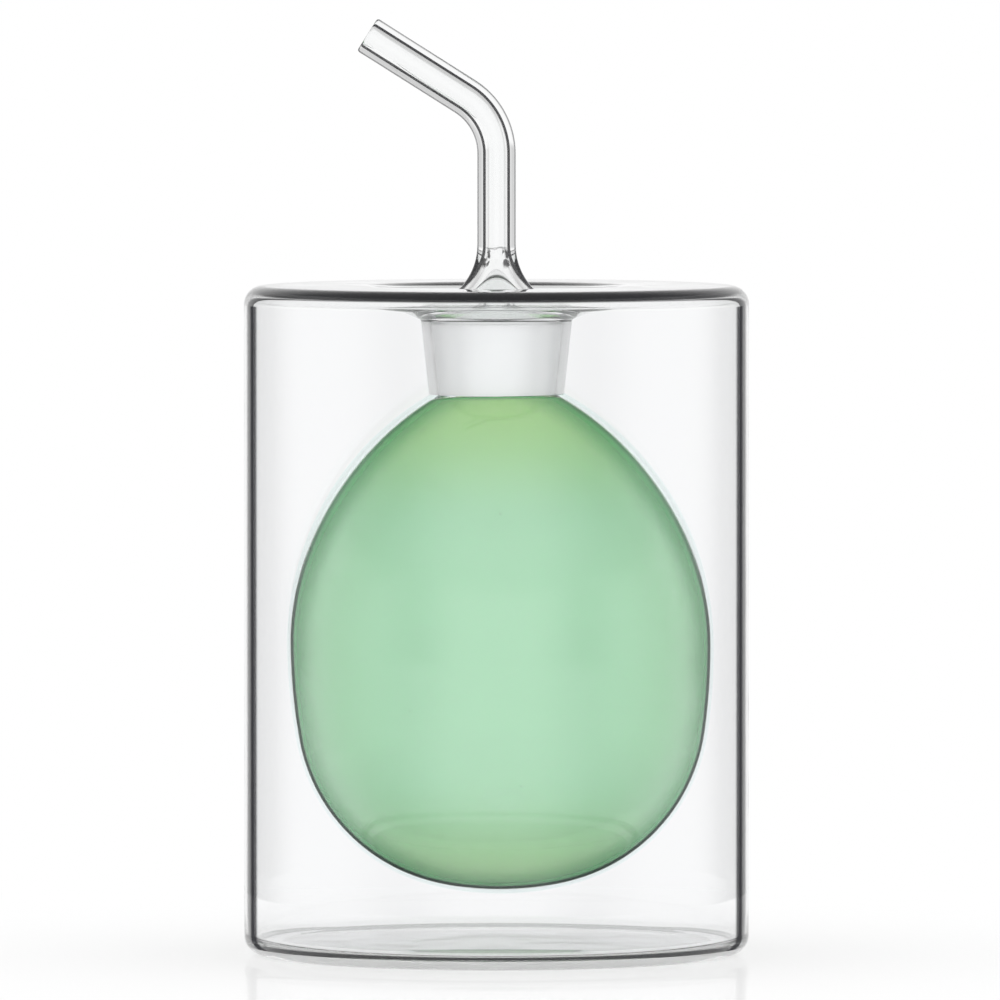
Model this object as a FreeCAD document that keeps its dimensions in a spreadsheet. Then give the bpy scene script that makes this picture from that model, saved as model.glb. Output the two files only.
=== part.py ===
import FreeCAD, Part

import math
import os

import Sketcher

# Oil cruet of clear borosilicate glass, in millimetres, +Z up.
# A straight-walled outer jacket stands on its closed base.  Its top plate sinks
# in a shallow funnel to a ground socket, and a thin egg-shaped bulb of green
# glass, which holds the oil, is sealed to the lower end of that socket.  A hollow
# ground stopper with a bent pouring tube sits in the socket and lifts out.
# The origin is the centre of the base, and the pouring tube points along -X.

SIZES = {
    # outer jacket
    "jacket_diameter": 80.0,
    "jacket_height": 106.0,
    "jacket_wall": 1.5,
    "top_thickness": 1.6,
    "base_thickness": 2.0,
    "corner_radius": 3.0,
    "base_rim_width": 6.0,
    "base_dish": 1.3,
    "nub_radius": 1.9,
    "nub_drop": 0.8,
    # funnel in the top plate and the ground socket under it
    "funnel_width": 9.5,
    "funnel_depth": 3.6,
    "funnel_blend": 6.0,
    "mouth_blend": 0.8,
    "socket_diameter": 24.0,
    "socket_taper": 2.6,
    "socket_length": 12.0,
    "socket_wall": 1.5,
    # green bulb
    "air_gap": 4.7,
    "bulb_wall": 0.8,
    "bulb_clearance": 7.7,
    "belly_share": 0.49937,
    "belly_radius": 90.0,
    "hip_radius": 29.0,
    "foot_radius": 45.0,
    # stopper and pouring tube
    "ground_clearance": 0.15,
    "stopper_overhang": 0.9,
    "stopper_lip": 0.6,
    "stopper_wall": 1.6,
    "shoulder_angle": 42.0,
    "shoulder_blend": 3.0,
    "bell_blend": 9.8,
    "collar_margin": 0.6,
    "tube_diameter": 6.1,
    "tube_riser": 19.8,
    "bend_radius": 10.7,
    "bend_angle": 57.7,
    "spout_length": 18.3,
    "rim_round": 0.45,
}

FULL_TURN = 360.0
NEAR = 1e-4


class Size:
    """A number together with the sheet formula that gives it."""

    def __init__(self, number, formula):
        self.number = number
        self.formula = formula

    def _combined(self, sign, other, number):
        text = other.formula if isinstance(other, Size) else repr(other)
        return Size(number, f"({self.formula} {sign} {text})")

    def __add__(self, other):
        return self._combined("+", other, self.number + number_of(other))

    def __sub__(self, other):
        return self._combined("-", other, self.number - number_of(other))

    def __mul__(self, other):
        return self._combined("*", other, self.number * number_of(other))

    def __truediv__(self, other):
        return self._combined("/", other, self.number / number_of(other))

    def __rsub__(self, other):
        return Size(other - self.number, f"({other!r} - {self.formula})")


NOTHING = Size(0.0, "0")


def number_of(value):
    """The plain number of a Size, or the number itself."""
    return value.number if isinstance(value, Size) else float(value)


def tangent_of(angle):
    """Tangent of a Size that holds degrees."""
    return Size(math.tan(math.radians(angle.number)), f"tan({angle.formula} * 1 deg)")


def cosine_of(angle):
    """Cosine of a Size that holds degrees."""
    return Size(math.cos(math.radians(angle.number)), f"cos({angle.formula} * 1 deg)")


def size_sheet(document):
    """Put the driving sizes in a sheet and return them by name."""
    sheet = document.addObject("Spreadsheet::Sheet", "Sizes")
    for row, (alias, number) in enumerate(SIZES.items(), start=1):
        sheet.set(f"A{row}", alias)
        sheet.set(f"B{row}", str(number))
        sheet.setAlias(f"B{row}", alias)
    document.recompute()
    return {alias: Size(float(sheet.get(alias)), f"Sizes.{alias}") for alias in SIZES}


# ---------------------------------------------------------------- sketch helpers

def origin_plane(body, role):
    """One of the body's own origin planes."""
    return next(item for item in body.Origin.OriginFeatures if item.Role == role)


def new_sketch(body, name, role="XZ_Plane"):
    """An empty sketch on an origin plane of its own body."""
    sketch = body.newObject("Sketcher::SketchObject", name)
    sketch.AttachmentSupport = [(origin_plane(body, role), "")]
    sketch.MapMode = "FlatFace"
    return sketch


def hold(sketch, name, constraint, size):
    """Add a named constraint and bind it to the formula of a size."""
    index = sketch.addConstraint(constraint)
    sketch.renameConstraint(index, name)
    sketch.setExpression(f".Constraints.{name}", size.formula)


def place_point(sketch, name, geometry, end, radius, height):
    """Locate one end of an edge by its radius from the axis and its height."""
    if radius is None:
        sketch.addConstraint(Sketcher.Constraint("PointOnObject", geometry, end, -2))
    else:
        across = Sketcher.Constraint("DistanceX", -1, 1, geometry, end, radius.number)
        hold(sketch, f"{name}_radius", across, radius)
    if height is None:
        sketch.addConstraint(Sketcher.Constraint("PointOnObject", geometry, end, -1))
    else:
        up = Sketcher.Constraint("DistanceY", -1, 1, geometry, end, height.number)
        hold(sketch, f"{name}_height", up, height)


def corner_point(radius, height):
    """Sketch point of a corner; None stands for the axis or the base plane."""
    across = 0.0 if radius is None else radius.number
    up = 0.0 if height is None else height.number
    return FreeCAD.Vector(across, up, 0.0)


def dished_arc(first, last, radius):
    """Arc between two points, centred on the lower side of their chord."""
    chord = last - first
    middle = (first + last) * 0.5
    reach = math.sqrt(radius ** 2 - (chord.Length / 2) ** 2)
    normal = FreeCAD.Vector(chord.y, -chord.x, 0.0).normalize()
    if normal.y > 0:
        normal = normal * -1
    centre = middle + normal * reach
    circle = Part.Circle(centre, FreeCAD.Vector(0, 0, 1), radius)
    start = math.atan2(last.y - centre.y, last.x - centre.x)
    end = math.atan2(first.y - centre.y, first.x - centre.x)
    return Part.ArcOfCircle(circle, start, end)


def profile_sketch(body, name, corners, arcs=None):
    """Closed sketch through corners of (radius, height).

    arcs gives, by the number of the corner an edge leaves, the radius of the
    edges that are dished arcs: those run outward from the axis and curve down.
    """
    arcs = arcs or {}
    sketch = new_sketch(body, name)
    ends = []
    for number, corner in enumerate(corners):
        first = corner_point(*corner)
        last = corner_point(*corners[(number + 1) % len(corners)])
        if number in arcs:
            edge = sketch.addGeometry(dished_arc(first, last, arcs[number].number), False)
            ends.append((edge, 2, 1))
        else:
            edge = sketch.addGeometry(Part.LineSegment(first, last), False)
            ends.append((edge, 1, 2))
    for number, (edge, start, _) in enumerate(ends):
        before, _, finish = ends[number - 1]
        sketch.addConstraint(Sketcher.Constraint("Coincident", before, finish, edge, start))
    for number, corner in enumerate(corners):
        edge, start, _ = ends[number]
        place_point(sketch, f"corner_{number}", edge, start, *corner)
    for number, radius in arcs.items():
        edge = ends[number][0]
        hold(sketch, f"arc_{number}", Sketcher.Constraint("Radius", edge, radius.number), radius)
    return sketch


def turned(body, kind, name, sketch):
    """Revolution or Groove of a sketch about the vertical axis."""
    feature = body.newObject(f"PartDesign::{kind}", name)
    feature.Profile = sketch
    feature.ReferenceAxis = (sketch, ["V_Axis"])
    feature.Angle = FULL_TURN
    sketch.Visibility = False
    body.Document.recompute()
    return feature


def circle_edges(feature, radius, centre):
    """Names of the circular edges with a radius about a centre."""
    names = []
    for number, edge in enumerate(feature.Shape.Edges, start=1):
        if edge.Degenerated or not isinstance(edge.Curve, Part.Circle):
            continue
        same_size = math.isclose(edge.Curve.Radius, radius.number, abs_tol=NEAR)
        if same_size and edge.Curve.Center.isEqual(centre, NEAR):
            names.append(f"Edge{number}")
    return names


def ring_edges(feature, radius, height):
    """Names of the circular edges round the axis at a radius and height."""
    return circle_edges(feature, radius, FreeCAD.Vector(0, 0, height.number))


def rounded(body, name, feature, edges, radius):
    """Fillet edges with a radius taken from a size."""
    fillet = body.newObject("PartDesign::Fillet", name)
    fillet.Base = (feature, edges)
    fillet.Radius = radius.number
    fillet.setExpression("Radius", radius.formula)
    body.Document.recompute()
    return fillet


def check_cut(before, after, name):
    """Stop where a cut took nothing away or an addition added nothing."""
    if math.isclose(before.Shape.Volume, after.Shape.Volume, rel_tol=1e-6):
        raise RuntimeError(f"{name} changed nothing")


# ---------------------------------------------------------------- the vessel

def levels(size):
    """Radii and heights that more than one piece shares."""
    jacket_radius = size["jacket_diameter"] / 2
    socket_top = size["jacket_height"] - size["funnel_depth"] - size["top_thickness"]
    socket_top_radius = size["socket_diameter"] / 2
    socket_foot_radius = (size["socket_diameter"] - size["socket_taper"]) / 2
    return {
        "jacket_radius": jacket_radius,
        "inner_radius": jacket_radius - size["jacket_wall"],
        "ceiling": size["jacket_height"] - size["top_thickness"],
        "socket_top": socket_top,
        "seal": socket_top - size["socket_length"],
        "socket_top_radius": socket_top_radius,
        "socket_foot_radius": socket_foot_radius,
        "bore_top_radius": socket_top_radius - size["socket_wall"],
        "bore_foot_radius": socket_foot_radius - size["socket_wall"],
        "funnel_foot": size["jacket_height"] - size["funnel_depth"],
        "funnel_radius": socket_top_radius - size["socket_wall"] + size["funnel_width"],
        "bulb_radius": jacket_radius - size["jacket_wall"] - size["air_gap"],
        "bulb_foot": size["base_thickness"] + size["bulb_clearance"],
        "taper_slope": size["socket_taper"] / 2 / size["socket_length"],
    }


def jacket_body(document, size, level):
    """Outer jacket: can, air space round the bulb, funnel and ground socket."""
    body = document.addObject("PartDesign::Body", "outer_jacket")
    body.Label = "outer_jacket"
    rim = level["jacket_radius"] - size["base_rim_width"]
    dish = size["base_dish"]
    dish_radius = (rim * rim + dish * dish) / (dish * 2)
    top = size["jacket_height"]

    can_corners = [(None, dish), (rim, None), (level["jacket_radius"], None),
                   (level["jacket_radius"], top), (None, top)]
    can_sketch = profile_sketch(body, "can_outline", can_corners, {0: dish_radius})
    can = turned(body, "Revolution", "can", can_sketch)

    nub_radius = size["nub_radius"]
    nub_drop = size["nub_drop"]
    nub_root = dish + size["base_thickness"] / 2
    nub_arc = (nub_radius * nub_radius + nub_drop * nub_drop) / (nub_drop * 2)
    nub_corners = [(None, nub_root), (nub_radius, nub_root), (nub_radius, dish), (None, dish - nub_drop)]
    nub_sketch = nub_outline(body, nub_corners, nub_arc)
    nub = turned(body, "Revolution", "sealing_nub", nub_sketch)
    check_cut(can, nub, "sealing nub")

    floor = size["base_thickness"]
    space_corners = [(None, dish + floor), (rim, floor), (level["inner_radius"], floor),
                     (level["inner_radius"], level["ceiling"]),
                     (level["funnel_radius"], level["ceiling"]),
                     (level["socket_top_radius"], level["socket_top"]),
                     (level["socket_foot_radius"], level["seal"]), (None, level["seal"])]
    space_sketch = profile_sketch(body, "air_space_outline", space_corners, {0: dish_radius})
    space = turned(body, "Groove", "air_space", space_sketch)
    check_cut(nub, space, "air space")

    mouth_corners = [(None, level["seal"]), (level["bore_foot_radius"], level["seal"]),
                     (level["bore_top_radius"], level["socket_top"]),
                     (level["bore_top_radius"], level["funnel_foot"]),
                     (level["funnel_radius"], top), (None, top)]
    mouth_sketch = profile_sketch(body, "mouth_outline", mouth_corners)
    mouth = turned(body, "Groove", "mouth", mouth_sketch)
    check_cut(space, mouth, "mouth")

    outer = (ring_edges(mouth, level["jacket_radius"], NOTHING)
             + ring_edges(mouth, level["jacket_radius"], top))
    corners = rounded(body, "outer_corners", mouth, outer, size["corner_radius"])
    inner = (ring_edges(corners, level["inner_radius"], floor)
             + ring_edges(corners, level["inner_radius"], level["ceiling"]))
    inside = rounded(body, "inner_corners", corners, inner, size["corner_radius"] - size["jacket_wall"])
    bends = (ring_edges(inside, level["funnel_radius"], top)
             + ring_edges(inside, level["funnel_radius"], level["ceiling"]))
    funnel = rounded(body, "funnel_bends", inside, bends, size["funnel_blend"])
    lips = ring_edges(funnel, level["bore_top_radius"], level["funnel_foot"])
    rounded(body, "mouth_lip", funnel, lips, size["mouth_blend"])
    return body


def nub_outline(body, corners, arc_radius):
    """Sketch of the sealing nub: a short stem closed below by a round cap."""
    sketch = new_sketch(body, "sealing_nub_outline")
    points = [corner_point(*corner) for corner in corners]
    top, outer, root, foot = points
    lines = [(top, outer), (outer, root), (foot, top)]
    edges = [sketch.addGeometry(Part.LineSegment(*line), False) for line in lines]
    centre = FreeCAD.Vector(0.0, foot.y + arc_radius.number, 0.0)
    circle = Part.Circle(centre, FreeCAD.Vector(0, 0, 1), arc_radius.number)
    side = math.atan2(root.y - centre.y, root.x - centre.x)
    cap = sketch.addGeometry(Part.ArcOfCircle(circle, -math.pi / 2, side), False)
    joined = [(edges[0], 2, edges[1], 1), (edges[1], 2, cap, 2), (cap, 1, edges[2], 1),
              (edges[2], 2, edges[0], 1)]
    for pair in joined:
        sketch.addConstraint(Sketcher.Constraint("Coincident", *pair))
    place_point(sketch, "top", edges[0], 1, *corners[0])
    place_point(sketch, "outer", edges[1], 1, *corners[1])
    place_point(sketch, "root", edges[1], 2, *corners[2])
    place_point(sketch, "foot", edges[2], 1, *corners[3])
    hold(sketch, "cap", Sketcher.Constraint("Radius", cap, arc_radius.number), arc_radius)
    return sketch


def meeting_centre(first, first_reach, second, second_reach):
    """Lower point at the given distances from two centres."""
    gap = second - first
    along = (first_reach ** 2 - second_reach ** 2 + gap.Length ** 2) / (2 * gap.Length)
    aside = math.sqrt(first_reach ** 2 - along ** 2)
    foot = first + gap * (along / gap.Length)
    across = FreeCAD.Vector(gap.y, -gap.x, 0.0).normalize()
    if across.y > 0:
        across = across * -1
    return foot + across * aside


def arc_about(centre, radius, first, last):
    """Anticlockwise arc about a centre from the direction of first to last."""
    start = math.atan2(first.y - centre.y, first.x - centre.x)
    end = math.atan2(last.y - centre.y, last.x - centre.x)
    circle = Part.Circle(centre, FreeCAD.Vector(0, 0, 1), radius)
    return Part.ArcOfCircle(circle, start, end)


def egg_sketch(body, name, size, level, inset, neck_radius):
    """Closed outline of the egg, its wall drawn in by inset.

    Four tangent arcs: foot, hip, belly and shoulder.  The widest ring lies at a
    share of the height from foot to seal, and the shoulder swings from it up to
    the neck, a ring at the seal with the socket.
    """
    sketch = new_sketch(body, name)
    widest = level["bulb_foot"] + (level["seal"] - level["bulb_foot"]) * size["belly_share"]
    side_radius = level["bulb_radius"] - inset
    neck_reach = side_radius.number - neck_radius.number
    rise = level["seal"].number - widest.number
    shoulder_radius = (neck_reach ** 2 + rise ** 2) / (neck_reach * 2)
    foot_radius = size["foot_radius"] - inset
    hip_radius = size["hip_radius"] - inset
    belly_radius = size["belly_radius"] - inset

    foot_centre = FreeCAD.Vector(0, level["bulb_foot"].number + size["foot_radius"].number, 0)
    belly_centre = FreeCAD.Vector(level["bulb_radius"].number - size["belly_radius"].number, widest.number, 0)
    shoulder_centre = FreeCAD.Vector(side_radius.number - shoulder_radius, widest.number, 0)
    hip_centre = meeting_centre(
        belly_centre, size["belly_radius"].number - size["hip_radius"].number,
        foot_centre, size["foot_radius"].number - size["hip_radius"].number)
    foot_to_hip = hip_centre + (hip_centre - foot_centre).normalize() * hip_radius.number
    hip_to_belly = hip_centre + (hip_centre - belly_centre).normalize() * hip_radius.number
    pole = FreeCAD.Vector(0, foot_centre.y - foot_radius.number, 0)
    side = FreeCAD.Vector(side_radius.number, widest.number, 0)
    neck = FreeCAD.Vector(neck_radius.number, level["seal"].number, 0)
    crown = FreeCAD.Vector(0, level["seal"].number, 0)

    foot = sketch.addGeometry(arc_about(foot_centre, foot_radius.number, pole, foot_to_hip), False)
    hip = sketch.addGeometry(arc_about(hip_centre, hip_radius.number, foot_to_hip, hip_to_belly), False)
    belly = sketch.addGeometry(arc_about(belly_centre, belly_radius.number, hip_to_belly, side), False)
    shoulder = sketch.addGeometry(arc_about(shoulder_centre, shoulder_radius, side, neck), False)
    lid = sketch.addGeometry(Part.LineSegment(neck, crown), False)
    axis = sketch.addGeometry(Part.LineSegment(crown, pole), False)

    for first, last in ((foot, hip), (hip, belly), (belly, shoulder)):
        sketch.addConstraint(Sketcher.Constraint("Tangent", first, 2, last, 1))
    sketch.addConstraint(Sketcher.Constraint("Coincident", shoulder, 2, lid, 1))
    sketch.addConstraint(Sketcher.Constraint("Coincident", lid, 2, axis, 1))
    sketch.addConstraint(Sketcher.Constraint("Coincident", axis, 2, foot, 1))
    sketch.addConstraint(Sketcher.Constraint("Horizontal", lid))
    place_point(sketch, "neck", lid, 1, neck_radius, level["seal"])
    sketch.addConstraint(Sketcher.Constraint("PointOnObject", lid, 2, -2))
    place_point(sketch, "foot_centre", foot, 3, None, level["bulb_foot"] + size["foot_radius"])
    sketch.addConstraint(Sketcher.Constraint("PointOnObject", foot, 1, -2))
    hold(sketch, "foot_arc", Sketcher.Constraint("Radius", foot, foot_radius.number), foot_radius)
    hold(sketch, "hip_arc", Sketcher.Constraint("Radius", hip, hip_radius.number), hip_radius)
    hold(sketch, "belly_arc", Sketcher.Constraint("Radius", belly, belly_radius.number), belly_radius)
    place_point(sketch, "side", belly, 2, side_radius, widest)
    centre_up = Sketcher.Constraint("DistanceY", -1, 1, belly, 3, widest.number)
    hold(sketch, "belly_centre_height", centre_up, widest)
    return sketch


def bulb_body(document, size, level):
    """Green bulb: the egg turned solid, then hollowed to its wall."""
    body = document.addObject("PartDesign::Body", "green_bulb")
    body.Label = "green_bulb"
    outside = egg_sketch(body, "bulb_outline", size, level, NOTHING, level["socket_foot_radius"])
    shell = turned(body, "Revolution", "bulb", outside)
    inside = egg_sketch(body, "hollow_outline", size, level, size["bulb_wall"], level["bore_foot_radius"])
    hollow = turned(body, "Groove", "hollow", inside)
    check_cut(shell, hollow, "hollow of the bulb")
    return body


# ---------------------------------------------------------------- stopper and spout

def stopper_levels(size, level):
    """Radii and heights of the stopper, worked out from the socket it sits in."""
    slope = tangent_of(size["shoulder_angle"])
    wall = size["stopper_wall"]
    cone_top_radius = (level["bore_top_radius"] - size["ground_clearance"]
                       + level["taper_slope"] * size["stopper_lip"])
    cone_foot_radius = (level["bore_foot_radius"] - size["ground_clearance"]
                        - level["taper_slope"] * size["stopper_overhang"])
    tube_radius = size["tube_diameter"] / 2
    bore_radius = tube_radius - wall
    lip = level["socket_top"] + size["stopper_lip"]
    peak = lip + (cone_top_radius - tube_radius) * slope
    inner_lip = lip + wall * slope - wall / cosine_of(size["shoulder_angle"])
    inner_peak = inner_lip + (cone_top_radius - wall - bore_radius) * slope
    half_turn = (90 - size["shoulder_angle"]) / 2
    collar_top = peak + size["bell_blend"] * tangent_of(half_turn) + size["collar_margin"]
    return {
        "cone_top_radius": cone_top_radius,
        "cone_foot_radius": cone_foot_radius,
        "tube_radius": tube_radius,
        "bore_radius": bore_radius,
        "foot": level["seal"] - size["stopper_overhang"],
        "lip": lip,
        "peak": peak,
        "inner_lip": inner_lip,
        "inner_peak": inner_peak,
        "collar_top": collar_top,
    }


def tube_path(body, size, own):
    """Centre line of the pouring tube: riser, bend and spout towards -X."""
    sketch = new_sketch(body, "tube_path")
    half_bend = tangent_of(size["bend_angle"] / 2)
    bend_start = own["collar_top"] + size["tube_riser"] - size["bend_radius"] * half_bend
    turn = math.radians(size["bend_angle"].number)
    radius = size["bend_radius"].number
    start = FreeCAD.Vector(0, own["collar_top"].number, 0)
    low = FreeCAD.Vector(0, bend_start.number, 0)
    centre = FreeCAD.Vector(-radius, low.y, 0)
    high = centre + FreeCAD.Vector(math.cos(turn), math.sin(turn), 0) * radius
    heading = FreeCAD.Vector(-math.sin(turn), math.cos(turn), 0)
    tip = high + heading * size["spout_length"].number

    riser = sketch.addGeometry(Part.LineSegment(start, low), False)
    bend = sketch.addGeometry(arc_about(centre, radius, low, high), False)
    spout = sketch.addGeometry(Part.LineSegment(high, tip), False)
    sketch.addConstraint(Sketcher.Constraint("Tangent", riser, 2, bend, 1))
    sketch.addConstraint(Sketcher.Constraint("Tangent", bend, 2, spout, 1))
    sketch.addConstraint(Sketcher.Constraint("Vertical", riser))
    place_point(sketch, "riser_start", riser, 1, None, own["collar_top"])
    up = Sketcher.Constraint("DistanceY", -1, 1, riser, 2, low.y)
    hold(sketch, "bend_start", up, bend_start)
    hold(sketch, "bend_arc", Sketcher.Constraint("Radius", bend, radius), size["bend_radius"])
    heading_angle = Size(turn + math.pi / 2, f"(90 + {size['bend_angle'].formula}) * 1 deg")
    hold(sketch, "spout_angle", Sketcher.Constraint("Angle", spout, heading_angle.number), heading_angle)
    length = Sketcher.Constraint("Distance", spout, size["spout_length"].number)
    hold(sketch, "spout_run", length, size["spout_length"])
    return sketch, FreeCAD.Vector(tip.x, 0, tip.y)


def ring_section(body, name, radius, height):
    """Circle about the axis on a plane at the given height."""
    sketch = new_sketch(body, name, "XY_Plane")
    sketch.AttachmentOffset = FreeCAD.Placement(FreeCAD.Vector(0, 0, height.number), FreeCAD.Rotation())
    sketch.setExpression("AttachmentOffset.Base.z", height.formula)
    circle = Part.Circle(FreeCAD.Vector(0, 0, 0), FreeCAD.Vector(0, 0, 1), radius.number)
    ring = sketch.addGeometry(circle, False)
    sketch.addConstraint(Sketcher.Constraint("Coincident", ring, 3, -1, 1))
    hold(sketch, "section", Sketcher.Constraint("Radius", ring, radius.number), radius)
    return sketch


def piped(body, kind, name, section, path):
    """AdditivePipe or SubtractivePipe of a section along a path."""
    feature = body.newObject(f"PartDesign::{kind}", name)
    feature.Profile = section
    feature.Spine = (path, [""])
    section.Visibility = False
    path.Visibility = False
    body.Document.recompute()
    return feature


def stopper_body(document, size, level):
    """Hollow ground stopper whose bell runs up into the bent pouring tube."""
    body = document.addObject("PartDesign::Body", "stopper_spout")
    body.Label = "stopper_spout"
    own = stopper_levels(size, level)
    wall = size["stopper_wall"]

    plug_corners = [(None, own["foot"]), (own["cone_foot_radius"], own["foot"]),
                    (own["cone_top_radius"], own["lip"]), (own["tube_radius"], own["peak"]),
                    (own["tube_radius"], own["collar_top"]), (None, own["collar_top"])]
    plug = turned(body, "Revolution", "plug", profile_sketch(body, "plug_outline", plug_corners))
    bell = rounded(body, "bell", plug, ring_edges(plug, own["tube_radius"], own["peak"]), size["bell_blend"])
    shoulder = rounded(body, "shoulder", bell, ring_edges(bell, own["cone_top_radius"], own["lip"]),
                       size["shoulder_blend"])

    path, tip = tube_path(body, size, own)
    tube_section = ring_section(body, "tube_section", own["tube_radius"], own["collar_top"])
    tube = piped(body, "AdditivePipe", "tube", tube_section, path)
    check_cut(shoulder, tube, "tube")

    hollow_corners = [(None, own["foot"]), (own["cone_foot_radius"] - wall, own["foot"]),
                      (own["cone_top_radius"] - wall, own["inner_lip"]),
                      (own["bore_radius"], own["inner_peak"]),
                      (own["bore_radius"], own["collar_top"]), (None, own["collar_top"])]
    hollow_sketch = profile_sketch(body, "hollow_outline", hollow_corners)
    hollow = turned(body, "Groove", "hollow", hollow_sketch)
    check_cut(tube, hollow, "hollow of the stopper")
    bore_section = ring_section(body, "bore_section", own["bore_radius"], own["collar_top"])
    bore = piped(body, "SubtractivePipe", "bore", bore_section, path)
    check_cut(hollow, bore, "bore of the tube")

    inner_bell = rounded(body, "inner_bell", bore, ring_edges(bore, own["bore_radius"], own["inner_peak"]),
                         size["bell_blend"] + wall)
    inner_lip_edges = ring_edges(inner_bell, own["cone_top_radius"] - wall, own["inner_lip"])
    inner_shoulder = rounded(body, "inner_shoulder", inner_bell, inner_lip_edges,
                             size["shoulder_blend"] - wall)
    rims = (circle_edges(inner_shoulder, own["tube_radius"], tip)
            + circle_edges(inner_shoulder, own["bore_radius"], tip)
            + ring_edges(inner_shoulder, own["cone_foot_radius"], own["foot"])
            + ring_edges(inner_shoulder, own["cone_foot_radius"] - wall, own["foot"]))
    rounded(body, "polished_rims", inner_shoulder, rims, size["rim_round"])
    return body


# ---------------------------------------------------------------- build, check and write

def check_document(document, bodies):
    """Stop on any failed object and on a body without one valid solid."""
    for item in document.Objects:
        if "Invalid" in item.State or "Error" in item.State:
            raise RuntimeError(f"{item.Name} failed to recompute")
    for body in bodies:
        shape = body.Shape
        if shape.isNull() or not shape.isValid() or len(shape.Solids) != 1:
            raise RuntimeError(f"{body.Label} isn't one valid solid")


def main():
    """Build the three pieces of the cruet and write each to its own STEP file."""
    document = FreeCAD.newDocument("oil_cruet")
    size = size_sheet(document)
    level = levels(size)
    bodies = [
        jacket_body(document, size, level),
        bulb_body(document, size, level),
        stopper_body(document, size, level),
    ]
    document.recompute()
    check_document(document, bodies)
    os.makedirs("parts", exist_ok=True)
    for body in bodies:
        body.Shape.exportStep(f"parts/{body.Label}.step")
        print(f"{body.Label}: {body.Shape.Volume / 1000:.2f} cubic centimetres")


main()
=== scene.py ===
"""Looks of an oil cruet of clear and green glass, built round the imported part.

A clear straight jacket carries a thin green bulb, sealed to the foot of the
jacket's ground socket, and a hollow ground stopper with a bent pouring tube
rests in that socket.  Lengths are in millimetres until a mesh is made.
"""

import functools
import logging
import math
from collections.abc import Callable
from dataclasses import dataclass, field
from enum import Enum

import bpy
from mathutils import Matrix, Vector

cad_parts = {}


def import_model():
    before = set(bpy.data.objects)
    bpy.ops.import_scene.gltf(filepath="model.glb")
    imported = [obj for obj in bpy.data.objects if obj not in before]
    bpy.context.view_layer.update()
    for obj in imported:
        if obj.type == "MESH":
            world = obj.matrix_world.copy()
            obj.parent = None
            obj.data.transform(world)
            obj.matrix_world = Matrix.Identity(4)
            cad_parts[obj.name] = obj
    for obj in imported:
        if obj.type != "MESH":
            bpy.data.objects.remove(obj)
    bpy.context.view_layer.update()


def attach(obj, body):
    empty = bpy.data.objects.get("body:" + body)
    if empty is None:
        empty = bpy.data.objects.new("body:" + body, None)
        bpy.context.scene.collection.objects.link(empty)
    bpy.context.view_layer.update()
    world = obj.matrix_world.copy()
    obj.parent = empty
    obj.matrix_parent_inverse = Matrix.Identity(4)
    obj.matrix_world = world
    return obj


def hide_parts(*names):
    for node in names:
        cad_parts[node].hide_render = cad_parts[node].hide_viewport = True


MM = 0.001
TURN = 2.0 * math.pi
DOUBLES_APART = 1e-6  # metres
SLACK = 0.1  # millimetres, as is TOUCH
TOUCH = 0.01
SHARP_EDGE = 50.0  # degrees
NOISE_MIDDLE = (0.3, 0.7)  # where most of a noise's values lie
GLASS_IOR = 1.47
ALL_SENT_BACK = 0.999

Point = tuple[float, float]
Colour = tuple[float, float, float]
Socket = bpy.types.NodeSocket
Value = Socket | float

log = logging.getLogger("cruet")


class Part(Enum):
    """Material slots of a glass piece, in slot order."""

    OUTSIDE = 0
    INSIDE = 1
    GROUND = 2
    PLATE = 3
    BASE = 4
    FOOT = 5
    FUNNEL = 6


# --- outlines


@dataclass(frozen=True)
class Corner:
    """A corner of an outline, rounded by an arc when its blend isn't zero."""

    radius: float
    height: float
    blend: float = 0.0
    steps: int = 8

    @property
    def point(self) -> Vector:
        """The corner's place in the outline's plane."""
        return Vector((self.radius, self.height))


def rounded_corner(before: Vector, corner: Corner, after: Vector) -> list[Point]:
    """Points of one corner with its blend.

    Args:
        before: The point the outline comes from.
        corner: The corner itself.
        after: The point the outline goes to.

    Returns:
        The corner alone, or the points of the arc that replaces it.
    """
    here = corner.point
    if corner.blend == 0.0:
        return [tuple(here)]
    back = (before - here).normalized()
    forward = (after - here).normalized()
    half = back.angle(forward) / 2.0
    reach = corner.blend / math.tan(half)
    centre = here + (back + forward).normalized() * (corner.blend / math.sin(half))
    return arc_points(centre, here + back * reach, here + forward * reach, corner.steps)


def arc_points(centre: Vector, start: Vector, end: Vector, steps: int) -> list[Point]:
    """Points of the shorter arc between two points, both ends included.

    Args:
        centre: Centre of the arc.
        start: Where the arc starts.
        end: Where the arc ends.
        steps: Number of equal steps along the arc.

    Returns:
        The points in order from start to end.
    """
    spoke = Vector(start) - Vector(centre)
    sweep = spoke.angle_signed(Vector(end) - Vector(centre))
    points = []
    for step in range(steps + 1):
        turned = spoke.copy()
        turn = -sweep * step / steps
        turned.x = spoke.x * math.cos(turn) - spoke.y * math.sin(turn)
        turned.y = spoke.x * math.sin(turn) + spoke.y * math.cos(turn)
        points.append(tuple(Vector(centre) + turned))
    return points


def outline(corners: list[Corner]) -> list[Point]:
    """Runs through corners and rounds each one by its blend.

    Args:
        corners: The corners in order; the first and the last stay sharp.

    Returns:
        The outline's points in order.
    """
    points = [tuple(corners[0].point)]
    for before, corner, after in zip(corners, corners[1:], corners[2:]):
        points += rounded_corner(before.point, corner, after.point)
    points.append(tuple(corners[-1].point))
    return points


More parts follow.
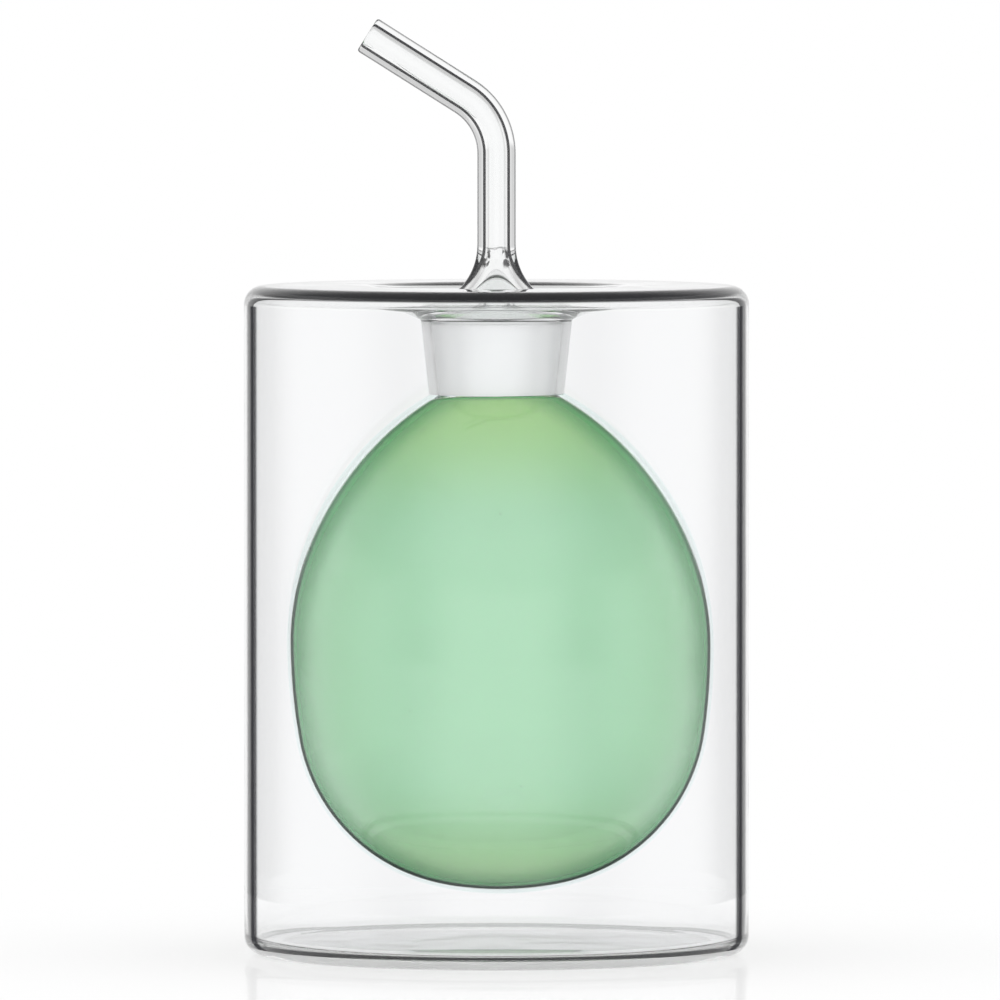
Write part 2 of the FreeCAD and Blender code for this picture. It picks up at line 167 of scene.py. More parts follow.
def divided(points: list[Point], longest: float) -> list[Point]:
    """Divides long straight runs so that the glass bends light evenly.

    Args:
        points: An outline.
        longest: The longest run allowed, in millimetres.

    Returns:
        The outline with extra points on its long runs.
    """
    result = [points[0]]
    for start, end in zip(points, points[1:]):
        run = Vector(end) - Vector(start)
        pieces = max(1, math.ceil(run.length / longest))
        for piece in range(1, pieces + 1):
            result.append(tuple(Vector(start) + run * (piece / pieces)))
    return result


# --- modelling


def start_from_point(name: str, place: Vector) -> bpy.types.Object:
    """Starts a piece as a single vertex, in edit mode.

    Args:
        name: Name of the new object and mesh.
        place: Where the vertex lies, in metres.

    Returns:
        The new object.
    """
    bpy.ops.object.select_all(action="DESELECT")
    bpy.ops.mesh.primitive_plane_add(size=MM)
    piece = bpy.context.object
    piece.name = name
    piece.data.name = name
    bpy.ops.object.mode_set(mode="EDIT")
    bpy.ops.mesh.select_all(action="SELECT")
    bpy.ops.mesh.merge(type="CENTER")
    bpy.ops.transform.translate(value=place)
    return piece


def close_seams() -> None:
    """Merges doubled vertices and turns every face outwards."""
    bpy.ops.mesh.select_all(action="SELECT")
    bpy.ops.mesh.remove_doubles(threshold=DOUBLES_APART)
    bpy.ops.mesh.normals_make_consistent(inside=False)


def turned_piece(name: str, points: list[Point], segments: int) -> bpy.types.Object:
    """Draws an outline and turns it about the upright axis, in edit mode.

    Args:
        name: Name of the piece.
        points: Radius and height along the outline.
        segments: Number of steps in the full turn.

    Returns:
        The new object.
    """
    piece = start_from_point(name, Vector((points[0][0], 0.0, points[0][1])) * MM)
    for start, end in zip(points, points[1:]):
        step = Vector((end[0] - start[0], 0.0, end[1] - start[1])) * MM
        bpy.ops.mesh.extrude_vertices_move(TRANSFORM_OT_translate={"value": step})
    bpy.ops.mesh.select_all(action="SELECT")
    bpy.ops.mesh.spin(steps=segments, angle=TURN, center=(0, 0, 0), axis=(0, 0, 1))
    close_seams()
    return piece


def select_faces(piece: bpy.types.Object, wanted: Callable[[Vector, Vector], bool]) -> None:
    """Selects the faces whose place and normal pass a test.

    Args:
        piece: The piece in edit mode.
        wanted: Takes a face's centre in millimetres and its normal.
    """
    bpy.ops.mesh.select_mode(type="FACE")
    bpy.ops.mesh.select_all(action="DESELECT")
    bpy.ops.object.mode_set(mode="OBJECT")
    for face in piece.data.polygons:
        face.select = wanted(face.center / MM, face.normal)
    bpy.ops.object.mode_set(mode="EDIT")


def finish_piece(piece: bpy.types.Object) -> None:
    """Leaves edit mode and smooths the piece except at its sharp edges.

    Args:
        piece: The piece in edit mode.
    """
    bpy.ops.mesh.select_all(action="DESELECT")
    bpy.ops.mesh.select_mode(type="VERT")
    bpy.ops.object.mode_set(mode="OBJECT")
    bpy.ops.object.shade_smooth_by_angle(angle=math.radians(SHARP_EDGE))
    log.info("%s: %d faces", piece.name, len(piece.data.polygons))


# --- finishes


class NodeBoard:
    """A node tree with short calls to add, join and calculate."""

    def __init__(self, tree: bpy.types.NodeTree) -> None:
        """Keeps the node tree to work on."""
        self.tree = tree

    def add(self, kind: str, **settings: object) -> bpy.types.Node:
        """Adds a node.

        Args:
            kind: The node's type.
            **settings: Attributes of the node.

        Returns:
            The new node.
        """
        node = self.tree.nodes.new(kind)
        for key, value in settings.items():
            setattr(node, key, value)
        return node

    def join(self, source: Socket, target: Socket) -> None:
        """Joins an output to an input."""
        self.tree.links.new(source, target)

    def calc(self, operation: str, *values: Value) -> Socket:
        """Calculates with one or two values.

        Args:
            operation: The operation's name in Blender.
            *values: Sockets or plain numbers.

        Returns:
            The result.
        """
        node = self.add("ShaderNodeMath", operation=operation)
        for value, socket in zip(values, node.inputs):
            if isinstance(value, Socket):
                self.join(value, socket)
            else:
                socket.default_value = value
        return node.outputs[0]

    def product(self, first: Value, second: Value) -> Socket:
        """Multiplies two values."""
        return self.calc("MULTIPLY", first, second)

    def total(self, first: Value, second: Value) -> Socket:
        """Adds two values."""
        return self.calc("ADD", first, second)

    def larger(self, first: Value, second: Value) -> Socket:
        """Takes the larger of two values."""
        return self.calc("MAXIMUM", first, second)

    def spread(
        self, source: Socket, low: float, high: float, start: float = 0.0, end: float = 1.0
    ) -> Socket:
        """Maps a value smoothly from one range to another.

        Args:
            source: The value.
            low: Where the range starts.
            high: Where the range ends.
            start: Result at the start.
            end: Result at the end.

        Returns:
            The mapped value.
        """
        node = self.add("ShaderNodeMapRange", interpolation_type="SMOOTHSTEP")
        self.join(source, node.inputs["Value"])
        limits = {"From Min": low, "From Max": high, "To Min": start, "To Max": end}
        for name, value in limits.items():
            node.inputs[name].default_value = value
        return node.outputs["Result"]

    def mix_shaders(self, factor: Socket, first: Socket, second: Socket) -> Socket:
        """Mixes two shaders.

        Args:
            factor: Share of the second shader.
            first: The first shader's output.
            second: The second shader's output.

        Returns:
            The mixed shader.
        """
        node = self.add("ShaderNodeMixShader")
        for source, target in zip((factor, first, second), node.inputs):
            self.join(source, target)
        return node.outputs[0]


class FinishBoard(NodeBoard):
    """The node tree of one finish, and what its surface knows of itself."""

    def __init__(self, name: str) -> None:
        """Makes the material and reads the surface's place, height and turn.

        Args:
            name: Name of the material.
        """
        self.material = bpy.data.materials.new(name)
        self.material.use_nodes = True
        super().__init__(self.material.node_tree)
        self.shader = self.tree.nodes["Principled BSDF"]
        self.surface = self.tree.nodes["Material Output"].inputs["Surface"]
        self.place = self.add("ShaderNodeTexCoord").outputs["Object"]
        split = self.add("ShaderNodeSeparateXYZ")
        self.join(self.place, split.inputs[0])
        self.height = split.outputs["Z"]
        self.turned = self.add("ShaderNodeLayerWeight").outputs["Facing"]

    def noise(self, size: float) -> Socket:
        """Adds a noise over the piece.

        Args:
            size: Size of the noise's features, in millimetres.

        Returns:
            The noise's value.
        """
        node = self.add("ShaderNodeTexNoise")
        node.inputs["Scale"].default_value = 1.0 / (size * MM)
        node.inputs["Detail"].default_value = 2.0
        self.join(self.place, node.inputs["Vector"])
        return node.outputs["Fac"]

    def blend(
        self, factor: Socket, first: Colour | Socket, second: Colour, kind: str = "MIX"
    ) -> Socket:
        """Blends two colours.

        Args:
            factor: Share of the second colour.
            first: A colour or a socket.
            second: A colour.
            kind: Way of blending.

        Returns:
            The blended colour.
        """
        node = self.add("ShaderNodeMix", data_type="RGBA", blend_type=kind)
        self.join(factor, node.inputs["Factor"])
        if isinstance(first, Socket):
            self.join(first, node.inputs["A"])
        else:
            node.inputs["A"].default_value = (*first, 1.0)
        node.inputs["B"].default_value = (*second, 1.0)
        return node.outputs["Result"]

    def cover(self, zone: Socket, colour: Colour, kind: str = "ShaderNodeBsdfDiffuse") -> None:
        """Covers a zone of the glass with a plain colour.

        Args:
            zone: The zone's strength.
            colour: Colour that stays in the zone.
            kind: Kind of shader that shows the colour.
        """
        shade = self.add(kind)
        shade.inputs["Color"].default_value = (*colour, 1.0)
        below = self.surface.links[0].from_socket
        self.join(self.mix_shaders(zone, below, shade.outputs[0]), self.surface)

    def ripple(self, size: float, depth: float) -> None:
        """Makes a fine uneven relief on the surface.

        Args:
            size: Size of the relief's waves, in millimetres.
            depth: Depth of the relief, in millimetres.
        """
        node = self.add("ShaderNodeBump")
        node.inputs["Strength"].default_value = 1.0
        node.inputs["Distance"].default_value = depth * MM
        self.join(self.noise(size), node.inputs["Height"])
        self.join(node.outputs["Normal"], self.shader.inputs["Normal"])

    def glass(self, roughness: float, transmission: float) -> None:
        """Sets the shader's own numbers for glass.

        Args:
            roughness: Roughness of the surface.
            transmission: Share of light let through.
        """
        self.shader.inputs["Roughness"].default_value = roughness
        self.shader.inputs["IOR"].default_value = GLASS_IOR
        self.shader.inputs["Transmission Weight"].default_value = transmission


@dataclass(frozen=True)
class SightLine:
    """A line of painted shade on the glass, where it is seen nearly edge on.

    Above fade_to it fades to another strength, and above one level it drifts
    inwards.  Heights are in millimetres.
    """

    at: float
    width: float
    strength: float
    faded: float
    fade_from: float = 200.0
    fade_to: float = 210.0
    level: float = 0.0
    reach: float = 28.0
    drift: float = 0.0
    core_share: float = 0.35

    def turned(self, board: FinishBoard) -> Socket:
        """Reads how far the surface is turned, with the line's drift added.

        Args:
            board: The finish's board.

        Returns:
            The value that the line compares with its place.
        """
        top = self.level + self.reach
        drift = board.spread(board.height, self.level * MM, top * MM, 0.0, self.drift)
        return board.total(board.turned, drift)

    def zone(self, board: FinishBoard) -> Socket:
        """Draws the line of painted shade.

        Args:
            board: The finish's board.

        Returns:
            The line's strength, 0 away from it.
        """
        turned = self.turned(board)
        strength = board.spread(
            board.height, self.fade_from * MM, self.fade_to * MM, self.strength, self.faded
        )
        core = self.width * self.core_share
        rising = board.spread(turned, self.at - self.width, self.at - core)
        falling = board.spread(turned, self.at + core, self.at + self.width, 1.0, 0.0)
        return board.product(board.product(rising, falling), strength)


@dataclass(frozen=True)
class Weld:
    """The ring and the puckers where the tube was fused to the bell."""

    level: float
    ring: float = 0.16
    ring_strength: float = 0.4
    ring_wander: float = 0.25
    depth: float = 3.2
    near: tuple[float, float] = (0.3, 0.6)
    pucker: float = 1.5
    spots: tuple[float, float] = (0.48, 0.56)
    side: float = 0.15
    side_fade: float = 0.12
    strength: float = 0.9

    def zone(self, board: FinishBoard) -> Socket:
        """Draws the ring and the puckers below it.

        Args:
            board: The finish's board.

        Returns:
            The marks' strength, 0 away from them.
        """
        uneven = board.noise(self.pucker * 2.0)
        wander = board.spread(uneven, *NOISE_MIDDLE, -self.ring_wander * MM, self.ring_wander * MM)
        level = board.total(wander, board.height)
        off_ring = board.calc("ABSOLUTE", board.total(level, -self.level * MM))
        ring = board.spread(off_ring, 0.0, self.ring * MM, self.ring_strength, 0.0)
        middle = (self.level - self.depth / 2.0) * MM
        off_middle = board.calc("ABSOLUTE", board.total(board.height, -middle))
        start, end = (self.depth * share * MM for share in self.near)
        near = board.spread(off_middle, start, end, 1.0, 0.0)
        spots = board.spread(board.noise(self.pucker), *self.spots)
        aside = board.spread(board.turned, self.side, self.side + self.side_fade)
        pucker = board.product(board.product(near, spots), board.product(aside, self.strength))
        return board.larger(ring, pucker)


@dataclass(frozen=True)
class TrappedLight:
    """Darkness where the wall sends light back and none comes from outside."""

    width: float = 0.0
    piped: float = 2.0
    piped_end: float = 2.0
    piped_soft: float = 0.1
    limit_soft: float = 0.6
    least_soft: float = 0.001
    strength: float = 0.95

    def zone(self, board: FinishBoard) -> Socket:
        """Finds where the glass sends light back from its far side.

        Args:
            board: The finish's board.

        Returns:
            The darkness next to the limit of total reflection and along the wall, else 0.
        """
        fresnel = board.add("ShaderNodeFresnel")
        fresnel.inputs["IOR"].default_value = GLASS_IOR
        sent_back = board.calc("GREATER_THAN", fresnel.outputs[0], ALL_SENT_BACK)
        limit = 1.0 - math.sqrt(1.0 - 1.0 / GLASS_IOR**2) + self.width
        soft = self.limit_soft * self.width + self.least_soft
        near = board.spread(board.turned, limit, limit + soft, 1.0, 0.0)
        along = board.spread(board.turned, self.piped, self.piped + self.piped_soft)
        last = self.piped_end + self.piped_soft
        ended = board.spread(board.turned, self.piped_end, last, 1.0, 0.0)
        either = board.larger(near, board.product(along, ended))
        return board.product(board.product(sent_back, either), self.strength)


@dataclass(frozen=True)
class Seeds:
    """A few tiny bubbles in the glass, in millimetres."""

    apart: float = 6.5
    radius: float = 0.24
    core_share: float = 0.3
    strength: float = 0.45

    def zone(self, board: FinishBoard) -> Socket:
        """Scatters the bubbles.

        Args:
            board: The finish's board.

        Returns:
            The bubbles' strength, 0 between them.
        """
        node = board.add("ShaderNodeTexVoronoi")
        node.inputs["Scale"].default_value = 1.0 / (self.apart * MM)
        board.join(board.place, node.inputs["Vector"])
        reach = self.radius / self.apart
        core = self.core_share * reach
        return board.spread(node.outputs["Distance"], core, reach, self.strength, 0.0)


@dataclass(frozen=True)
class TintedRim:
    """Painted shade inside a sight line and a pale see-through band of painted light outside it."""

    limb: Colour
    veil: Colour
    pale: Colour
    limb_reach: float = 0.36
    veil_reach: float = 0.28
    veil_share: float = 0.6
    pale_share: float = 0.9
    pale_soft: float = 0.3

    def inside_of(self, board: FinishBoard, line: SightLine, reach: float, share: float) -> Socket:
        """Finds the wall that lies inside the line.

        Args:
            board: The finish's board.
            line: The sight line.
            reach: How far the zone reaches inwards.
            share: The zone's strength at the line.

        Returns:
            The zone's strength.
        """
        turned = line.turned(board)
        rising = board.spread(turned, line.at - reach, line.at - line.width, 0.0, share)
        return board.product(rising, board.spread(turned, line.at, line.at + line.width, 1.0, 0.0))

    def outside_of(self, board: FinishBoard, line: SightLine) -> Socket:
        """Finds the wall that lies outside the line.

        Args:
            board: The finish's board.
            line: The sight line.

        Returns:
            The pale wall's share.
        """
        outer = line.at + line.width
        inner = outer - self.pale_soft * line.width
        return board.spread(line.turned(board), inner, outer, 0.0, self.pale_share)


@dataclass(frozen=True)
class PolishedGlass:
    """Clear fire-polished glass, with painted shade where it is seen edge on."""

    name: str
    tint: Colour
    edge: Colour = (0.6, 0.62, 0.63)
    edge_start: float = 0.75
    trapped: TrappedLight | None = None
    line: SightLine | None = None
    weld: Weld | None = None
    rim: TintedRim | None = None
    dark: Colour = (0.03, 0.03, 0.035)
    wave_size: float = 14.0
    wave_depth: float = 0.01
    scuff_and_painted_light: float = 0.0

    def build(self) -> bpy.types.Material:
        """Makes the material.

        Returns:
            The new material.
        """
        board = FinishBoard(self.name)
        # A scuffed share turns to white diffuse: wear, and painted light standing in for the light
        # from the pale table below.
        board.glass(0.0, 1.0 - self.scuff_and_painted_light)
        rim, line = self.rim, self.line
        # Painted shade: the colour turns to the edge colour where the glass is seen edge on.
        colour = board.blend(board.spread(board.turned, self.edge_start, 1.0), self.tint, self.edge)
        if rim is not None:
            # Painted shade: darker towards the limb, under a green veil.
            painted_limb_shade = rim.inside_of(board, line, rim.limb_reach, 1.0)
            colour = board.blend(painted_limb_shade, colour, rim.limb, "MULTIPLY")
            board.cover(rim.inside_of(board, line, rim.veil_reach, rim.veil_share), rim.veil)
        board.join(colour, board.shader.inputs["Base Color"])
        # Painted shade: the trapped-light and sight-line zones get a dark diffuse cover; the weld's
        # ring and puckers take the same dark colour.
        zones = [mark.zone(board) for mark in (self.trapped, line, self.weld) if mark is not None]
        if zones:
            board.cover(functools.reduce(board.larger, zones), self.dark)
        if rim is not None:
            # Painted light: a pale see-through band outside the sight line.
            board.cover(rim.outside_of(board, line), rim.pale, "ShaderNodeBsdfTransparent")
        board.ripple(self.wave_size, self.wave_depth)
        return board.material


@dataclass(frozen=True)
class GreenTint:
    """Green glass, more yellow near the neck and the foot of the bulb, with painted shade towards
    its limb and edges.
    """

    name: str
    belly: Colour
    neck: Colour
    foot: Colour
    edge: Colour
    neck_range: tuple[float, float]
    foot_range: tuple[float, float]
    edge_start: float = 0.7
    trapped: TrappedLight = TrappedLight(0.009)
    seeds: Seeds = Seeds()
    dark: Colour = (0.02, 0.05, 0.035)
    limb: Colour = (0.62, 0.745, 0.62)
    limb_range: tuple[float, float] = (0.04, 0.42)
    wave_size: float = 22.0
    wave_depth: float = 0.01

    def build(self) -> bpy.types.Material:
        """Makes the material.

        Returns:
            The new material.
        """
        board = FinishBoard(self.name)
        board.glass(0.0, 1.0)
        neck = board.spread(board.height, *(level * MM for level in self.neck_range))
        foot = board.spread(board.height, *(level * MM for level in self.foot_range), 1.0, 0.0)
        colour = board.blend(foot, board.blend(neck, self.belly, self.neck), self.foot)
        # Painted shade: darker towards the limb and the edges.
        limb = board.spread(board.turned, *self.limb_range)
        colour = board.blend(limb, colour, self.limb, "MULTIPLY")
        colour = board.blend(board.spread(board.turned, self.edge_start, 1.0), colour, self.edge)
        board.join(colour, board.shader.inputs["Base Color"])
        # Painted shade where light is trapped in the wall; the seeds are the glass's own bubbles.
        board.cover(board.larger(self.trapped.zone(board), self.seeds.zone(board)), self.dark)
        board.ripple(self.wave_size, self.wave_depth)
        return board.material


@dataclass(frozen=True)
class GroundGlass:
    """White frosted glass of a ground joint, with painted light: a faint glow, strongest face on
    and again near the edges.
    """

    name: str
    tint: Colour = (0.97, 0.975, 0.975)
    cloudy: float = 0.98
    cloud_size: float = 3.0
    roughness: float = 0.3
    transmission: float = 0.6
    glow: float = 0.26
    side_glow: float = 0.11
    edge_glow: float = 0.22
    face_range: tuple[float, float] = (0.0, 0.26)
    edge_range: tuple[float, float] = (0.24, 0.3)
    grain_size: float = 0.25
    grain_depth: float = 0.004

    def build(self) -> bpy.types.Material:
        """Makes the material.

        Returns:
            The new material.
        """
        board = FinishBoard(self.name)
        board.glass(self.roughness, self.transmission)
        cloud = board.spread(board.noise(self.cloud_size), *NOISE_MIDDLE)
        shade = tuple(part * self.cloudy for part in self.tint)
        board.join(board.blend(cloud, self.tint, shade), board.shader.inputs["Base Color"])
        # Painted light: the frosted glass glows though it is no lamp.
        board.shader.inputs["Emission Color"].default_value = (*self.tint, 1.0)
        face = board.spread(board.turned, *self.face_range, self.glow, self.side_glow)
        edge = board.spread(board.turned, *self.edge_range, 0.0, self.edge_glow)
        board.join(board.larger(face, edge), board.shader.inputs["Emission Strength"])
        board.ripple(self.grain_size, self.grain_depth)
        return board.material


Finish = PolishedGlass | GreenTint | GroundGlass


# --- pieces


def finish_faces(
    piece: bpy.types.Object, finishes: dict[Part, Finish], part_at: Callable[[Vector, Vector], Part]
) -> None:
    """Gives each face the finish of its part.

    Args:
        piece: The piece in edit mode.
        finishes: The finish of each part, in slot order.
        part_at: Names a face's part from its centre, in millimetres, and its normal.
    """
    for part, finish in finishes.items():
        piece.data.materials.append(finish.build())
        select_faces(piece, lambda place, normal, part=part: part_at(place, normal) is part)
        piece.active_material_index = part.value
        bpy.ops.object.material_slot_assign()


@dataclass(frozen=True)
class JacketSizes:
    """Sizes of the outer jacket and places where its finishes change."""

    radius: float = 40.0
    inner_radius: float = 38.5
    height: float = 106.0
    ceiling: float = 104.4
    corner: float = 3.0
    inner_corner: float = 1.5
    foot_inner: float = 34.0
    dish: float = 1.3
    nub_radius: float = 1.9
    nub_ball: float = 2.375
    nub_tip: float = 0.5
    nub_edge: float = 1.0
    floor: float = 2.0
    floor_rise: float = 1.3
    funnel_radius: float = 20.0
    funnel_blend: float = 6.0
    funnel_foot: float = 102.4
    lip_blend: float = 0.8
    socket_top: float = 100.8
    socket_outer: float = 12.0
    socket_blend: float = 0.6
    bore_top: float = 10.5
    seal: float = 88.8
    seal_outer: float = 10.7
    seal_bore: float = 9.2
    foot_top: float = 1.5
    base_edge: float = 36.0
    plate_start: float = 16.0
    funnel_start: float = 11.0
    funnel_end: float = 32.5
    cavity_start: float = 10.2


@dataclass
class Jacket:
    """The clear straight jacket, its shallow funnel and its ground socket."""

    outside: PolishedGlass
    inside: PolishedGlass
    ground: GroundGlass
    plate: PolishedGlass
    base: PolishedGlass
    foot: PolishedGlass
    funnel: PolishedGlass
    sizes: JacketSizes = field(default_factory=JacketSizes)
    segments: int = 192
    dish_steps: int = 24
    longest_run: float = 3.0
    piece: bpy.types.Object | None = None

    def dished(self, top: float, radius: float, drop: float) -> list[Point]:
        """Points of a shallow dish from its middle outwards.

        Args:
            top: Height of the middle.
            radius: Radius of the dish's edge.
            drop: How far the edge lies below the middle.

        Returns:
            The dish's points.
        """
        ball = (radius**2 + drop**2) / (2.0 * drop)
        points = []
        for step in range(self.dish_steps + 1):
            out = radius * step / self.dish_steps
            points.append((out, top - ball + math.sqrt(ball**2 - out**2)))
        return points

    def underside(self) -> list[Point]:
        """Points of the underside from the nub's tip outwards.

        Returns:
            The points up to the contact ring.
        """
        size = self.sizes
        tip = Vector((0.0, size.nub_tip))
        edge = Vector((size.nub_radius, size.nub_edge))
        nub = arc_points(Vector((0.0, size.nub_tip + size.nub_ball)), tip, edge, 8)
        dish = self.dished(size.dish, size.foot_inner, size.dish)
        return nub[:-1] + [point for point in dish if point[0] > size.nub_radius]

    def outline(self) -> list[Point]:
        """The jacket's outline from the underside round to the inner floor.

        Returns:
            Radius and height of each point, both ends on the axis.
        """
        size = self.sizes
        shell = outline(
            [
                Corner(size.foot_inner, 0.0),
                Corner(size.radius, 0.0, size.corner, 12),
                Corner(size.radius, size.height, size.corner, 12),
                Corner(size.funnel_radius, size.height, size.funnel_blend, 8),
                Corner(size.bore_top, size.funnel_foot, size.lip_blend, 6),
                Corner(size.bore_top, size.socket_top),
                Corner(size.seal_bore, size.seal),
                Corner(size.seal_outer, size.seal),
                Corner(size.socket_outer, size.socket_top, size.socket_blend, 4),
                Corner(size.funnel_radius, size.ceiling, size.funnel_blend, 8),
                Corner(size.inner_radius, size.ceiling, size.inner_corner, 8),
                Corner(size.inner_radius, size.floor, size.inner_corner, 8),
                Corner(size.foot_inner, size.floor),
            ]
        )
        floor = self.dished(size.floor + size.floor_rise, size.foot_inner, size.floor_rise)
        whole = self.underside()[:-1] + shell[:-1] + floor[::-1]
        return divided(whole, self.longest_run)

    def part_at(self, place: Vector, _normal: Vector) -> Part:
        """Names the part of the jacket that a face belongs to.

        Args:
            place: The face's centre, in millimetres.
            _normal: The face's normal, not used.

        Returns:
            The part.
        """
        size = self.sizes
        radius = math.hypot(place.x, place.y)
        top = size.ceiling + SLACK
        if place.z < size.foot_top:
            return Part.FOOT
        if size.socket_top < place.z < top and size.funnel_start < radius < size.funnel_end:
            return Part.FUNNEL
        if place.z < size.floor + size.floor_rise and radius < size.base_edge:
            return Part.BASE
        if place.z > size.ceiling - size.inner_corner and radius > size.plate_start:
            return Part.PLATE
        if size.seal < place.z < size.socket_top + SLACK and radius < size.bore_top + SLACK:
            return Part.GROUND
        in_cavity = size.cavity_start < radius < (size.inner_radius + size.radius) / 2.0
        return Part.INSIDE if place.z < top and in_cavity else Part.OUTSIDE

    def build(self) -> None:
        """Models the jacket."""
        piece = turned_piece("jacket", self.outline(), self.segments)
        finish_faces(
            piece,
            {
                Part.OUTSIDE: self.outside,
                Part.INSIDE: self.inside,
                Part.GROUND: self.ground,
                Part.PLATE: self.plate,
                Part.BASE: self.base,
                Part.FOOT: self.foot,
                Part.FUNNEL: self.funnel,
            },
            self.part_at,
        )
        finish_piece(piece)
        self.piece = piece

    def dress(self) -> None:
        """Puts the jacket into the frame."""
        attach(self.piece, "root")
        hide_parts("outer_jacket")


@dataclass(frozen=True)
class BulbSizes:
    """Sizes of the green bulb."""

    wall: float = 0.8
    foot: float = 9.7
    foot_radius: float = 45.0
    hip_radius: float = 29.0
    belly_radius: float = 90.0
    widest_radius: float = 33.8
    widest: float = 49.2
    seal: float = 88.8
    neck_outer: float = 10.7
    neck_inner: float = 9.2
    lean: float = 0.9


@dataclass
class Bulb:
    """The thin egg-shaped bulb of green glass that holds the oil."""

    outside: PolishedGlass
    inside: GreenTint
    sizes: BulbSizes = field(default_factory=BulbSizes)
    segments: int = 192
    foot_steps: int = 14
    hip_steps: int = 32
    belly_steps: int = 12
    shoulder_steps: int = 40
    piece: bpy.types.Object | None = None

    def hip_centre(self) -> Vector:
        """Finds the centre of the hip's arc, which touches foot and belly.

        Returns:
            The centre, in the outline's plane.
        """
        size = self.sizes
        foot = Vector((0.0, size.foot + size.foot_radius))
        belly = Vector((size.widest_radius - size.belly_radius, size.widest))
        to_foot = size.foot_radius - size.hip_radius
        to_belly = size.belly_radius - size.hip_radius
        apart = foot - belly
        along = (to_belly**2 - to_foot**2 + apart.length**2) / (2.0 * apart.length)
        aside = math.sqrt(to_belly**2 - along**2)
        step = apart.normalized()
        return belly + step * along + Vector((step.y, -step.x)) * aside

    def wall_line(self, inset: float, neck: float) -> list[Point]:
        """Points of one side of the wall, from the foot up to the neck.

        Args:
            inset: How far the side lies inside the outer one.
            neck: Radius of the neck's ring.

        Returns:
            The side's points.
        """
        size = self.sizes
        foot = Vector((0.0, size.foot + size.foot_radius))
        belly = Vector((size.widest_radius - size.belly_radius, size.widest))
        hip = self.hip_centre()
        low_join = foot + (hip - foot).normalized() * (size.foot_radius - inset)
        high_join = belly + (hip - belly).normalized() * (size.belly_radius - inset)
        widest = Vector((size.widest_radius - inset, size.widest))
        rise = size.seal - size.widest
        centre_radius = (widest.x**2 - neck**2 - rise**2) / (2.0 * (widest.x - neck))
        shoulder = Vector((centre_radius, size.widest))
        points = arc_points(foot, Vector((0.0, size.foot + inset)), low_join, self.foot_steps)
        points += arc_points(hip, low_join, high_join, self.hip_steps)[1:]
        points += arc_points(belly, high_join, widest, self.belly_steps)[1:]
        top = Vector((neck, size.seal))
        return points + arc_points(shoulder, widest, top, self.shoulder_steps)[1:]

    def part_at(self, place: Vector, normal: Vector) -> Part:
        """Names the side of the wall that a face belongs to.

        Args:
            place: The face's centre, in millimetres.
            normal: The face's normal.

        Returns:
            The side.
        """
        outwards = place - Vector((0.0, 0.0, self.sizes.widest))
        inside = place.z < self.sizes.seal - TOUCH and normal.dot(outwards) < 0.0
        return Part.INSIDE if inside else Part.OUTSIDE

    def build(self) -> None:
        """Models the bulb."""
        size = self.sizes
        outer = self.wall_line(0.0, size.neck_outer)
        inner = self.wall_line(size.wall, size.neck_inner)
        piece = turned_piece("bulb", outer + inner[::-1], self.segments)
        finish_faces(piece, {Part.OUTSIDE: self.outside, Part.INSIDE: self.inside}, self.part_at)
        bpy.ops.mesh.select_all(action="SELECT")
        seal = Vector((0.0, 0.0, size.seal)) * MM
        lean = math.radians(size.lean)
        bpy.ops.transform.rotate(value=lean, orient_axis="Y", center_override=seal)
        finish_piece(piece)
        self.piece = piece

    def dress(self) -> None:
        """Puts the bulb into the frame."""
        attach(self.piece, "root")
        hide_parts("green_bulb")


@dataclass(frozen=True)
class StopperSizes:
    """Sizes of the ground stopper and its pouring tube."""

    foot: float = 87.9
    foot_radius: float = 8.95
    foot_blend: float = 0.4
    ground_top: float = 100.4
    lip: float = 101.4
    lip_radius: float = 10.415
    peak: float = 108.03
    tube_radius: float = 3.05
    bore_radius: float = 1.45
    bell_blend: float = 9.8
    shoulder_blend: float = 3.0
    collar_top: float = 112.99
    hollow_foot: float = 7.35
    hollow_lip: float = 100.69
    hollow_lip_radius: float = 8.81
    hollow_peak: float = 107.31
    hollow_bell: float = 11.4
    hollow_shoulder: float = 1.4
    bend_start: float = 126.89
    bend_radius: float = 10.7
    bend_angle: float = 57.7
    spout: float = 18.3
    rim_round: float = 0.45


